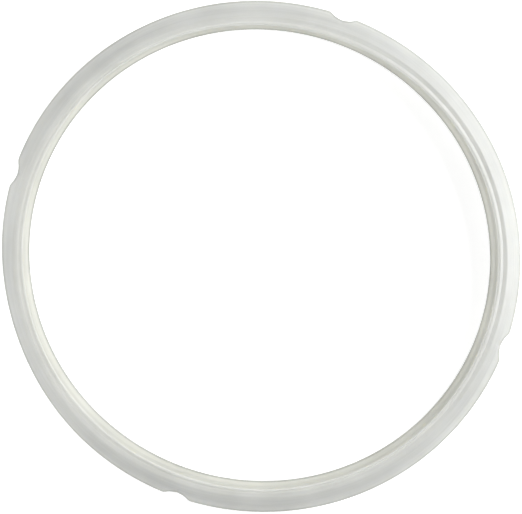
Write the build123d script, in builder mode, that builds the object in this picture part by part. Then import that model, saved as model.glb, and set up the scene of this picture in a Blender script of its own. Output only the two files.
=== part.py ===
from build123d import *
import os

# Sealing ring of a stovetop pressure cooker, 22 cm size: one moulded piece of silicone.
# The lid's round wire rack sits in the channel, which opens inward between two lips.
# Frame, in mm: the ring's axis is Z, and the ring rests on z = 0, on its lower lip.

# ---------------------------------------------------------------- driving dimensions
rim_diameter = 245.0  # outside, over the flange
hole_diameter = 220.0  # inside, between the tips of the lower lip
crest_height = 12.6  # from the base to where the faces beside the rounded crest would meet

back_wall = 2.6  # the upright back of the channel, at its thinnest
upper_lip_diameter = 221.8  # inside, between the tips of the upper lip
channel_diameter = 231.6  # over the channel's back

# the lower lip swells from its thin tip towards the back wall, and so does the upper lip
lower_lip_tip = 1.3
lower_lip_root = 6.5
bead_out, bead_height = 1.8, 2.9  # the rounded bead along the lower lip, out from its tip
groove_out, groove_height = 2.8, 3.5  # the shallow bend beside the bead, out from the tip
upper_lip_tip = 0.5
upper_lip_root = 2.4
upper_lip_rise = 0.1  # the upper lip's tip, above the crest
ridge_out, ridge_rise = 0.8, 0.25  # the ridge along the upper lip: out from its tip, above the crest

rim_thickness = 1.2  # the flange's thin outer edge
rim_drop = 3.6  # the flange's outer edge lies this far below the crest
shoulder_in = 3.6  # the shoulder's bend, inward from the rim
shoulder_drop = 1.5  # and below the crest
flange_root_drop = 4.6  # the flange's root on the back wall, below the crest
crest_in = 7.5  # the crest, inward from the rim
valley_in = 9.6  # the shallow valley, inward from the rim
valley_drop = 0.4

notch_count = 4
notch_depth = 2.5  # inward from the rim
notch_radius = 9.9  # of the round cutter that makes each scallop
first_notch_angle = 45.0

lower_tip_round = 0.55
upper_tip_round = 0.2
edge_round = 0.4
back_round = 1.2
channel_round = 1.2
shoulder_round = 8.0
crest_round = 1.4
valley_round = 0.5
ridge_round = 0.5
bead_round = 1.5
groove_round = 1.0

# ---------------------------------------------------------------- derived places
rim_r = rim_diameter / 2
hole_r = hole_diameter / 2
upper_lip_r = upper_lip_diameter / 2
channel_r = channel_diameter / 2
back_r = channel_r + back_wall
rim_top = crest_height - rim_drop
upper_lip_top = crest_height + upper_lip_rise
notch_center_r = rim_r - notch_depth + notch_radius

# ---------------------------------------------------------------- the ring's section
# Each corner is its radius from the axis, its height, and the rounding there.
# They go round the section from the lower lip's tip, along the base and up outside.
section_corners = [
    (hole_r, 0, lower_tip_round),
    (back_r, 0, back_round),
    (back_r, crest_height - flange_root_drop, back_round),
    (rim_r, rim_top - rim_thickness, edge_round),
    (rim_r, rim_top, edge_round),
    (rim_r - shoulder_in, crest_height - shoulder_drop, shoulder_round),
    (rim_r - crest_in, crest_height, crest_round),
    (rim_r - valley_in, crest_height - valley_drop, valley_round),
    (upper_lip_r + ridge_out, crest_height + ridge_rise, ridge_round),
    (upper_lip_r, upper_lip_top, upper_tip_round),
    (upper_lip_r, upper_lip_top - upper_lip_tip, upper_tip_round),
    (channel_r, upper_lip_top - upper_lip_root, channel_round),
    (channel_r, lower_lip_root, channel_round),
    (hole_r + groove_out, groove_height, groove_round),
    (hole_r + bead_out, bead_height, bead_round),
    (hole_r, lower_lip_tip, lower_tip_round),
]


# ---------------------------------------------------------------- sealing ring
with BuildPart() as sealing_ring:
    with BuildSketch(Plane.XZ) as section:
        with BuildLine():
            FilletPolyline(
                [(radius, z) for radius, z, _ in section_corners],
                radius=[rounding for _, _, rounding in section_corners],
                close=True,
            )
        make_face()
    revolve(axis=Axis.Z)

    # the four scallops in the flange's edge
    with BuildSketch(Plane.XY.offset(rim_top - 2 * rim_thickness)):
        with PolarLocations(notch_center_r, notch_count, start_angle=first_notch_angle):
            Circle(notch_radius)
    extrude(amount=crest_height, mode=Mode.SUBTRACT)

sealing_ring.part.label = "sealing_ring"

os.makedirs("parts", exist_ok=True)
export_step(sealing_ring.part, "parts/sealing_ring.step")
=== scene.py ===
# The looks of a pressure cooker's silicone sealing ring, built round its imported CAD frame.
# Everything is in metres, in the CAD's frame: the ring's axis is Z and it rests on z = 0.
import bpy
import math
from mathutils import Matrix, Vector


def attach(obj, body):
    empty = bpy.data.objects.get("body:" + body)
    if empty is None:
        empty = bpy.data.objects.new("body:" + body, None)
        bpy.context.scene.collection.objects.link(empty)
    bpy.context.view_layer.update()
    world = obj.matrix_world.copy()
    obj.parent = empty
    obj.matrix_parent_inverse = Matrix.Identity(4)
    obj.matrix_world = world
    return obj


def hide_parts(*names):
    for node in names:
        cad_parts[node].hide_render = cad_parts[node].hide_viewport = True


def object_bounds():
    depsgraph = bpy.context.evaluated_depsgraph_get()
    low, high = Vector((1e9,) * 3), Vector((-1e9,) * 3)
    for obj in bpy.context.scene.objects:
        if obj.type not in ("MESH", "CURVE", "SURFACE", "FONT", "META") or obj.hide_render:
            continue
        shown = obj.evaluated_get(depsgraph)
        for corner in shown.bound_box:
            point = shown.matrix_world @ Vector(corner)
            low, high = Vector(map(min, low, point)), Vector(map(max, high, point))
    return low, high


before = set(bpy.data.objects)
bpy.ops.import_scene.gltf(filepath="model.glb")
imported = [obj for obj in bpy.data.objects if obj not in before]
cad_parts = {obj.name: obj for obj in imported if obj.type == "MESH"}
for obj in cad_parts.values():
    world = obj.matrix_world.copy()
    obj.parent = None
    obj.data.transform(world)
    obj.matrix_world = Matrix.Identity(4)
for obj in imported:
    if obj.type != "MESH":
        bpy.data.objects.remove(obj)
cad_low, cad_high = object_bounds()

MM = 0.001
FULL_TURN = 2 * math.pi


# ------------------------------------------------------------------ the section's sizes
# The CAD frame gives the ring's outside radius; the section's other measures are the ones
# that the CAD was drawn from.
rim_r = (cad_high.x - cad_low.x) / 2
hole_r = 110.0 * MM
crest_height = 12.6 * MM

back_wall = 2.6 * MM
upper_lip_r = 110.9 * MM
channel_r = 115.8 * MM
back_r = channel_r + back_wall

lower_lip_tip = 1.3 * MM
lower_lip_root = 6.5 * MM
bead_r, bead_height = hole_r + 1.8 * MM, 2.9 * MM
groove_r, groove_height = hole_r + 2.8 * MM, 3.5 * MM
upper_lip_tip = 0.5 * MM
upper_lip_root = 2.4 * MM
upper_lip_top = crest_height + 0.1 * MM
ridge_r, ridge_height = upper_lip_r + 0.8 * MM, crest_height + 0.25 * MM

rim_thickness = 1.2 * MM
rim_top = crest_height - 3.6 * MM
shoulder_r, shoulder_height = rim_r - 3.6 * MM, crest_height - 1.5 * MM
flange_root_height = crest_height - 4.6 * MM
crest_r = rim_r - 7.5 * MM
valley_r, valley_height = rim_r - 9.6 * MM, crest_height - 0.4 * MM

lower_tip_round = 0.55 * MM
upper_tip_round = 0.2 * MM
edge_round = 0.4 * MM
back_round = 1.2 * MM
channel_round = 1.2 * MM
shoulder_round = 8.0 * MM
crest_round = 1.4 * MM
valley_round = 0.5 * MM
ridge_round = 0.5 * MM
bead_round = 1.5 * MM
groove_round = 1.0 * MM

# The section's corners: radius, height and rounding, as in the CAD.
section_corners = [
    (hole_r, 0, lower_tip_round),
    (back_r, 0, back_round),
    (back_r, flange_root_height, back_round),
    (rim_r, rim_top - rim_thickness, edge_round),
    (rim_r, rim_top, edge_round),
    (shoulder_r, shoulder_height, shoulder_round),
    (crest_r, crest_height, crest_round),
    (valley_r, valley_height, valley_round),
    (ridge_r, ridge_height, ridge_round),
    (upper_lip_r, upper_lip_top, upper_tip_round),
    (upper_lip_r, upper_lip_top - upper_lip_tip, upper_tip_round),
    (channel_r, upper_lip_top - upper_lip_root, channel_round),
    (channel_r, lower_lip_root, channel_round),
    (groove_r, groove_height, groove_round),
    (bead_r, bead_height, bead_round),
    (hole_r, lower_lip_tip, lower_tip_round),
]

# How fine the mesh is: steps in each rounding, the longest run between them, and the angles
# from one section to the next, which are finer within some degrees of each notch.
arc_steps = 6
longest_run = 0.6 * MM
coarse_step = math.radians(1.0)
fine_step = math.radians(0.2)
fine_half = math.radians(4.0)

# ------------------------------------------------------------------ the flange's edge
# Round scallops, as in the CAD, with their corners eased.
notch_count = 4
notch_angle = math.radians(45)
notch_depth = 2.5 * MM
notch_radius = 9.9 * MM
notch_center_r = rim_r - notch_depth + notch_radius
notch_corner = 0.9 * MM

# A shallow trough runs on inwards from the bottom of each notch.
trough_depth = 0.45 * MM
trough_length = 3.0 * MM
trough_half_width = 0.7 * MM
trough_end_r = rim_r - notch_depth - trough_length

# The flange was trimmed a little narrower along one stretch.
trim_depth = 1.7 * MM
trim_angle = math.radians(168)
trim_spread = math.radians(26)

# Inside this radius the flange stays put where its edge is cut back.
flange_root_r = back_r + 0.8 * MM

# ------------------------------------------------------------------ how the soft ring lies
# It is a little oval, its upper side lies a little off its lower side, and its upper lip and
# crest are a little wavy. Each wave has its turns round the ring, its size and its start.
oval = 1.5 * MM
oval_angle = math.radians(-45)
upper_side_shift = Vector((0, -0.95 * MM))
upper_lip_waves = [
    (1, 0.18 * MM, 1.05),
    (2, 0.21 * MM, 0.63),
    (3, 0.19 * MM, 0.87),
    (4, 0.10 * MM, -0.23),
    (7, 0.06 * MM, 1.9),
]
crest_waves = [(2, 0.60 * MM, 0.37)]
# The waves of the lip and the crest grow from nothing to their full size between these heights.
wavy_heights = (8 * MM, 11 * MM)
# The ring is stretched a little along some stretches, so the notches lie up to a degree off.
around_waves = [(1, math.radians(0.64), -3.02), (2, math.radians(0.13), -1.57)]

# ------------------------------------------------------------------ where shade is painted into the colour
# Painted shade: dark colour painted along the flange's edge, a little in each trough, and at both
# lips, standing in for the dark lines and shaded creases at the thin edges of the translucent
# silicone. The painted shade is full up to the nearer distance from the edge and gone at the
# further one.
rim_painted_shade = 0.5
rim_painted_shade_reach = (0.5 * MM, 1.3 * MM)
trough_painted_shade = 0.1
# Each lip has the middle of its tip, how strong its painted shade is and how far that reaches.
painted_lip_tip_shades = [
    (Vector((hole_r, lower_lip_tip / 2)), 0.85, (0.7 * MM, 1.5 * MM)),
    (Vector((upper_lip_r, upper_lip_top - upper_lip_tip / 2)), 0.36, (0.3 * MM, 2.4 * MM)),
]
# Painted shade: the channel's warm tint stands in for the warm colour that light takes in the
# shaded channel after passing through the silicone. It comes in between the first two heights and
# goes between the others.
warm_shade_start = (0.6 * MM, 1.6 * MM)
warm_shade_end = (10.6 * MM, 12.0 * MM)
# Nothing further out than this behind the channel's back is tinted.
channel_margin = 0.1 * MM


# ------------------------------------------------------------------ curves and outlines
def smooth_step(value, low, high):
    """Rises smoothly from 0 at the low value to 1 at the high one."""
    t = min(1.0, max(0.0, (value - low) / (high - low)))
    return t * t * (3 - 2 * t)


def bell(value, spread):
    """1 at zero, falling away smoothly on both sides."""
    return math.exp(-((value / spread) ** 2))


def soft_min(first, second, blend):
    """The smaller of two values, rounded off where they are nearly equal."""
    nearness = max(0.0, 1 - abs(first - second) / blend)
    return min(first, second) - blend * nearness**2 / 4


def turned(arm, angle):
    """A 2D vector turned anticlockwise."""
    c, s = math.cos(angle), math.sin(angle)
    return Vector((arm.x * c - arm.y * s, arm.x * s + arm.y * c))


def rounded_outline(corners):
    """The closed outline through the corners, each rounded by a tangent arc."""
    points = []
    count = len(corners)
    for i, (r, z, rounding) in enumerate(corners):
        corner = Vector((r, z))
        before = (Vector(corners[i - 1][:2]) - corner).normalized()
        after = (Vector(corners[(i + 1) % count][:2]) - corner).normalized()
        half_angle = before.angle(after) / 2
        start = corner + before * (rounding / math.tan(half_angle))
        center = corner + (before + after).normalized() * (rounding / math.sin(half_angle))
        sweep = math.pi - 2 * half_angle
        turn = 1 if before.cross(after) < 0 else -1
        for step in range(arc_steps + 1):
            points.append(center + turned(start - center, turn * sweep * step / arc_steps))
    return points


def divided(points, longest):
    """The same closed outline, with extra points wherever two are further apart."""
    result = []
    for i, point in enumerate(points):
        following = points[(i + 1) % len(points)]
        pieces = max(1, math.ceil((following - point).length / longest))
        for k in range(pieces):
            result.append(point.lerp(following, k / pieces))
    return result


def distances_along(outline):
    """How far along the outline each of its points is."""
    distances = [0.0]
    for before, point in zip(outline, outline[1:]):
        distances.append(distances[-1] + (point - before).length)
    return distances


# ------------------------------------------------------------------ the ring's shape
def from_notch(angle):
    """How far an angle is from the middle of the nearest notch."""
    spacing = FULL_TURN / notch_count
    return (angle - notch_angle + spacing / 2) % spacing - spacing / 2


def waves(kinds, angle):
    """The sum of some waves at an angle round the ring."""
    return sum(size * math.cos(turns * angle + start) for turns, size, start in kinds)


def flange_edge(angle):
    """The flange's outside radius at an angle: less where trimmed and in a notch's round cut."""
    from_trim = (angle - trim_angle + math.pi) % FULL_TURN - math.pi
    edge = rim_r - trim_depth * bell(from_trim, trim_spread)
    away = from_notch(angle)
    side = notch_center_r * math.sin(away)
    if abs(side) < notch_radius:
        cut = notch_center_r * math.cos(away) - math.sqrt(notch_radius**2 - side**2)
        edge = soft_min(edge, cut, notch_corner)
    return edge


def flange_top(r):
    """The height of the flange's upper face at a radius, before its edge is rounded."""
    outer_fall = (shoulder_height - rim_top) / (rim_r - shoulder_r)
    inner_fall = (crest_height - shoulder_height) / (shoulder_r - crest_r)
    fall = outer_fall if r > shoulder_r else inner_fall
    return shoulder_height + (shoulder_r - r) * fall


def flange_bottom(r):
    """The height of the flange's underside at a radius, before its edge is rounded."""
    fall = (flange_root_height - rim_top + rim_thickness) / (rim_r - back_r)
    return flange_root_height - (r - back_r) * fall


def cut_back(point, edge):
    """A flange point moved in with the flange's edge, staying on the flange's own faces."""
    if point.x <= flange_root_r or edge >= rim_r:
        return point
    kept = (edge - flange_root_r) / (rim_r - flange_root_r)
    r = flange_root_r + (point.x - flange_root_r) * kept
    face = flange_top if point.y > rim_top - rim_thickness / 2 else flange_bottom
    return Vector((r, point.y + face(r) - face(point.x)))


def lying_free(r, z, angle):
    """Where a point of the relaxed ring comes to lie, with the waves, the oval and the shift."""
    angle += waves(around_waves, angle)
    upper = smooth_step(z, *wavy_heights)
    lip_share = upper * (1 - smooth_step(r, upper_lip_r, crest_r))
    crest_share = upper * smooth_step(r, upper_lip_r, valley_r)
    crest_share *= 1 - smooth_step(r, crest_r, shoulder_r)
    r += oval * math.cos(2 * (angle - oval_angle))
    r += lip_share * waves(upper_lip_waves, angle) + crest_share * waves(crest_waves, angle)
    shift = upper_side_shift * (z / crest_height)
    return Vector((r * math.cos(angle) + shift.x, r * math.sin(angle) + shift.y, z))


def laid(point, angle):
    """Where a section's point lies at an angle round the ring, and how much shade is painted on the
    flange there.
    """
    edge = flange_edge(angle)
    r, z = cut_back(point, edge)
    across_trough = bell(rim_r * math.sin(from_notch(angle)), trough_half_width)
    along_trough = smooth_step(r, trough_end_r, trough_end_r + trough_length)
    in_trough = across_trough * along_trough * smooth_step(point.y, flange_root_height, rim_top)
    near_edge = 1 - smooth_step(edge - r, *rim_painted_shade_reach)
    painted_shade = max(rim_painted_shade * near_edge, trough_painted_shade * in_trough)
    return lying_free(r, z - trough_depth * in_trough, angle), painted_shade


def lip_painted_shade(point):
    """How much shade is painted on a section's point for lying near the thin tip of a lip."""
    return max(
        painted_shade * (1 - smooth_step((point - tip).length, *reach)) for tip, painted_shade, reach in painted_lip_tip_shades
    )


def painted_channel_warmth(point):
    """How much painted warm shade a section's point takes for lying inside the channel, from 0 to
    1.
    """
    if point.x > channel_r + channel_margin:
        return 0.0
    return smooth_step(point.y, *warm_shade_start) * (1 - smooth_step(point.y, *warm_shade_end))


def ring_angles():
    """Angles round the ring, close together at each notch."""
    spacing = FULL_TURN / notch_count
    fine_steps = round(2 * fine_half / fine_step)
    coarse_steps = round((spacing - 2 * fine_half) / coarse_step)
    angles = []
    for k in range(notch_count):
        middle = notch_angle + k * spacing
        angles += [middle - fine_half + fine_step * i for i in range(fine_steps)]
        angles += [middle + fine_half + coarse_step * i for i in range(coarse_steps)]
    return angles


def make_ring():
    """The ring as one closed mesh, with three attributes that its material reads."""
    outline = divided(rounded_outline(section_corners), longest_run)
    lip_painted_shades = [lip_painted_shade(point) for point in outline]
    angles = ring_angles()
    verts = []
    painted_shades = []
    for angle in angles:
        for point, lip_shade in zip(outline, lip_painted_shades):
            place, flange_shade = laid(point, angle)
            verts.append(place)
            painted_shades.append(max(flange_shade, lip_shade))

    count, rows = len(outline), len(angles)
    faces = []
    for j in range(rows):
        here, there = j * count, ((j + 1) % rows) * count
        for i in range(count):
            k = (i + 1) % count
            faces.append((here + i, there + i, there + k, here + k))

    mesh = bpy.data.meshes.new("sealing_ring_silicone")
    mesh.from_pydata(verts, [], faces)
    # Besides the distance across the section, the attributes say where shade is painted: dark lines
    # at edges, troughs and lip tips, and a warm shade colour inside the channel.
    across = distances_along(outline) * rows
    channel = [painted_channel_warmth(point) for point in outline] * rows
    for name, numbers in (("across", across), ("painted_shade", painted_shades), ("channel", channel)):
        attribute = mesh.attributes.new(name, "FLOAT", "POINT")
        attribute.data.foreach_set("value", numbers)
    mesh.shade_smooth()
    mesh.validate()
    piece = bpy.data.objects.new("sealing_ring_silicone", mesh)
    bpy.context.scene.collection.objects.link(piece)
    return piece


# ------------------------------------------------------------------ materials
class Shading:
    """A new material, with short ways to add its nodes and to link them."""

    def __init__(self, name):
        self.material = bpy.data.materials.new(name)
        self.material.use_nodes = True
        self.tree = self.material.node_tree
        self.shader = self.tree.nodes["Principled BSDF"]

    def node(self, kind, **settings):
        """A new node itself, with its settings."""
        made = self.tree.nodes.new(kind)
        for name, value in settings.items():
            setattr(made, name, value)
        return made

    def feed(self, value, socket):
        """Link an output to a socket, or set the socket to a number or colour."""
        if isinstance(value, bpy.types.NodeSocket):
            self.tree.links.new(value, socket)
        else:
            socket.default_value = value

    def attribute(self, name):
        """One of the mesh's own values."""
        return self.node("ShaderNodeAttribute", attribute_name=name).outputs["Fac"]

    def noise(self, vector, scale, detail, roughness=0.5):
        """A noise texture, whose values mostly lie between 0.3 and 0.7."""
        made = self.node("ShaderNodeTexNoise")
        self.feed(vector, made.inputs["Vector"])
        self.feed(scale, made.inputs["Scale"])
        self.feed(detail, made.inputs["Detail"])
        self.feed(roughness, made.inputs["Roughness"])
        return made.outputs["Fac"]

    def fitted(self, value, low, high, new_low, new_high):
        """A value's span from low to high, brought to a new one."""
        made = self.node("ShaderNodeMapRange")
        self.feed(value, made.inputs["Value"])
        self.feed(low, made.inputs["From Min"])
        self.feed(high, made.inputs["From Max"])
        self.feed(new_low, made.inputs["To Min"])
        self.feed(new_high, made.inputs["To Max"])
        return made.outputs["Result"]

    def scaled(self, value, size):
        """A value from 0 to 1, brought to 0 to the size."""
        return self.fitted(value, 0, 1, 0, size)

    def swing(self, noise, size, middle=0.0):
        """A noise brought to swing about a middle value, by a size each way."""
        return self.fitted(noise, 0.3, 0.7, middle - size, middle + size)

    def combined(self, operation, first, second):
        """Two values put through a sum, product or other operation."""
        made = self.node("ShaderNodeMath", operation=operation)
        self.feed(first, made.inputs[0])
        self.feed(second, made.inputs[1])
        return made.outputs["Value"]

    def total(self, first, *others):
        """The sum of two values or more."""
        for other in others:
            first = self.combined("ADD", first, other)
        return first

    def mixed(self, amount, first, second):
        """One colour turning into another by an amount from 0 to 1."""
        made = self.node("ShaderNodeMix", data_type="RGBA")
        self.feed(amount, made.inputs["Factor"])
        colors = [socket for socket in made.inputs if socket.type == "RGBA"]
        self.feed(first, colors[0])
        self.feed(second, colors[1])
        return [socket for socket in made.outputs if socket.type == "RGBA"][0]


def silicone_material():
    """Milky translucent silicone, moulded in a turned steel mould."""
    milky = (0.693, 0.702, 0.685, 1)
    # Painted shade: a warm colour for the shaded channel and a dark one for edge and crease lines,
    # with the most of each that is painted.
    painted_warm_shade = (0.712, 0.715, 0.67, 1)
    edge_painted_shade = (0.28, 0.29, 0.27, 1)
    most_painted_warm_shade, most_painted_shade = 0.8, 0.85
    shading = Shading("milky_silicone")
    shader = shading.shader
    position = shading.node("ShaderNodeTexCoord").outputs["Object"]

    # Fine lines round the ring, left by the turned mould. Their noise changes fast across the
    # section and slowly around the ring, where only a small share of the position counts.
    around_share = 0.012
    split = shading.node("ShaderNodeSeparateXYZ")
    shading.feed(position, split.inputs["Vector"])
    stretched = shading.node("ShaderNodeCombineXYZ")
    for name in ("X", "Y"):
        around = shading.combined("MULTIPLY", split.outputs[name], around_share)
        shading.feed(around, stretched.inputs[name])
    shading.feed(shading.attribute("across"), stretched.inputs["Z"])
    turning_lines = shading.noise(stretched.outputs["Vector"], scale=2600, detail=2.0)
    wider_bands = shading.noise(stretched.outputs["Vector"], scale=700, detail=1.0)

    clouds = shading.noise(position, scale=45, detail=4.0)
    grain = shading.noise(position, scale=2600, detail=2.0, roughness=0.6)
    smears = shading.noise(position, scale=130, detail=5.0, roughness=0.6)

    # The colour: painted warm shade in the channel, painted dark shade at the thin edges, troughs
    # and lip tips, and varied by the clouds and lines.
    painted_warm_shade_share = shading.scaled(shading.attribute("channel"), most_painted_warm_shade)
    painted_shade_share = shading.scaled(shading.attribute("painted_shade"), most_painted_shade)
    body = shading.mixed(painted_warm_shade_share, milky, painted_warm_shade)
    body = shading.mixed(painted_shade_share, body, edge_painted_shade)
    bright = shading.node("ShaderNodeBrightContrast")
    brightness = shading.total(
        shading.swing(clouds, 0.03),
        shading.swing(turning_lines, 0.02),
        shading.swing(wider_bands, 0.015),
    )
    shading.feed(body, bright.inputs["Color"])
    shading.feed(brightness, bright.inputs["Bright"])
    shading.feed(bright.outputs["Color"], shader.inputs["Base Color"])

    # The finish: satin, with smears and grain.
    rough = shading.total(shading.swing(smears, 0.05, middle=0.35), shading.swing(grain, 0.02))
    shading.feed(rough, shader.inputs["Roughness"])

    relief = shading.total(
        shading.scaled(turning_lines, 0.6),
        shading.scaled(grain, 0.4),
        shading.scaled(smears, 0.8),
    )
    bump = shading.node("ShaderNodeBump")
    shading.feed(1.0, bump.inputs["Strength"])
    shading.feed(0.03 * MM, bump.inputs["Distance"])
    shading.feed(relief, bump.inputs["Height"])
    shading.feed(bump.outputs["Normal"], shader.inputs["Normal"])

    shader.inputs["IOR"].default_value = 1.41
    shader.inputs["Subsurface Weight"].default_value = 0.9
    shader.inputs["Subsurface Radius"].default_value = (1.0, 0.98, 0.9)
    shader.inputs["Subsurface Scale"].default_value = 3.0 * MM
    return shading.material


def table_material():
    """A white table, lit from within as a light table is, so that it stays white in shadow."""
    shading = Shading("white_table")
    shader = shading.shader
    shader.inputs["Base Color"].default_value = (0.9, 0.9, 0.9, 1)
    shader.inputs["Roughness"].default_value = 0.9
    shader.inputs["Emission Color"].default_value = (1, 1, 1, 1)
    shader.inputs["Emission Strength"].default_value = 0.56
    return shading.material


# ------------------------------------------------------------------ floor, sky, lights and camera
# The picture's right-hand direction lies this far round from the frame's +X.
picture_turn = math.radians(-25.6)
picture_right = Vector((math.cos(picture_turn), math.sin(picture_turn), 0))
picture_up = Vector((-picture_right.y, picture_right.x, 0))


def towards(bearing, elevation):
    """The direction at a bearing, counted round from picture right, and an elevation."""
    level = picture_right * math.cos(bearing) + picture_up * math.sin(bearing)
    return level * math.cos(elevation) + Vector((0, 0, math.sin(elevation)))


def make_floor():
    """The table's top, much larger than the ring."""
    half = 3.0
    corners = [(-half, -half, 0), (half, -half, 0), (half, half, 0), (-half, half, 0)]
    mesh = bpy.data.meshes.new("floor")
    mesh.from_pydata(corners, [], [(0, 1, 2, 3)])
    mesh.materials.append(table_material())
    floor = bpy.data.objects.new("floor", mesh)
    bpy.context.scene.collection.objects.link(floor)


def make_sky():
    """A white sky, bright at the horizon and nearly dark overhead."""
    horizon, overhead = 1.2, 0.03
    world = bpy.data.worlds.new("studio")
    world.use_nodes = True
    nodes, links = world.node_tree.nodes, world.node_tree.links
    sky = nodes["Background"]
    sky.inputs["Color"].default_value = (1, 1, 1, 1)
    direction = nodes.new("ShaderNodeTexCoord")
    upwards = nodes.new("ShaderNodeSeparateXYZ")
    fade = nodes.new("ShaderNodeMapRange")
    fade.inputs["To Min"].default_value = horizon
    fade.inputs["To Max"].default_value = overhead
    links.new(direction.outputs["Generated"], upwards.inputs["Vector"])
    links.new(upwards.outputs["Z"], fade.inputs["Value"])
    links.new(fade.outputs["Result"], sky.inputs["Strength"])
    bpy.context.scene.world = world


def make_softbox(name, bearing, elevation, distance, energy):
    """A soft area light that faces the ring, as wide as it is distant. Angles in degrees."""
    height_share = 0.3
    light = bpy.data.lights.new(name, "AREA")
    light.shape = "RECTANGLE"
    light.size = distance
    light.size_y = distance * height_share
    light.energy = energy
    placed = bpy.data.objects.new(name, light)
    placed.location = distance * towards(math.radians(bearing), math.radians(elevation))
    placed.rotation_euler = placed.location.to_track_quat("Z", "Y").to_euler()
    bpy.context.scene.collection.objects.link(placed)


def make_camera():
    """Nearly overhead, leaning a little towards the picture's right."""
    lean = math.radians(2.0)
    lean_bearing = math.radians(8.4)
    distance = 0.5
    aim = 1.46 * MM * picture_right - 0.82 * MM * picture_up
    camera = bpy.data.cameras.new("camera")
    camera.lens = 71.4
    camera.sensor_width = 36
    back = towards(lean_bearing, math.radians(90) - lean)
    right = (picture_right - back * picture_right.dot(back)).normalized()
    turn = Matrix((right, back.cross(right), back)).transposed()
    placed = bpy.data.objects.new("camera", camera)
    placed.matrix_world = Matrix.Translation(aim + back * distance) @ turn.to_4x4()
    bpy.context.scene.collection.objects.link(placed)
    bpy.context.scene.camera = placed


# ------------------------------------------------------------------ the scene
ring = make_ring()
ring.data.materials.append(silicone_material())
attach(ring, "root")
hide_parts("sealing_ring")

bpy.context.scene.view_settings.view_transform = "Standard"
make_floor()
make_sky()
make_softbox("key", bearing=18, elevation=33, distance=0.8, energy=4.6)
make_softbox("fill", bearing=188, elevation=22, distance=0.6, energy=1.0)
make_camera()
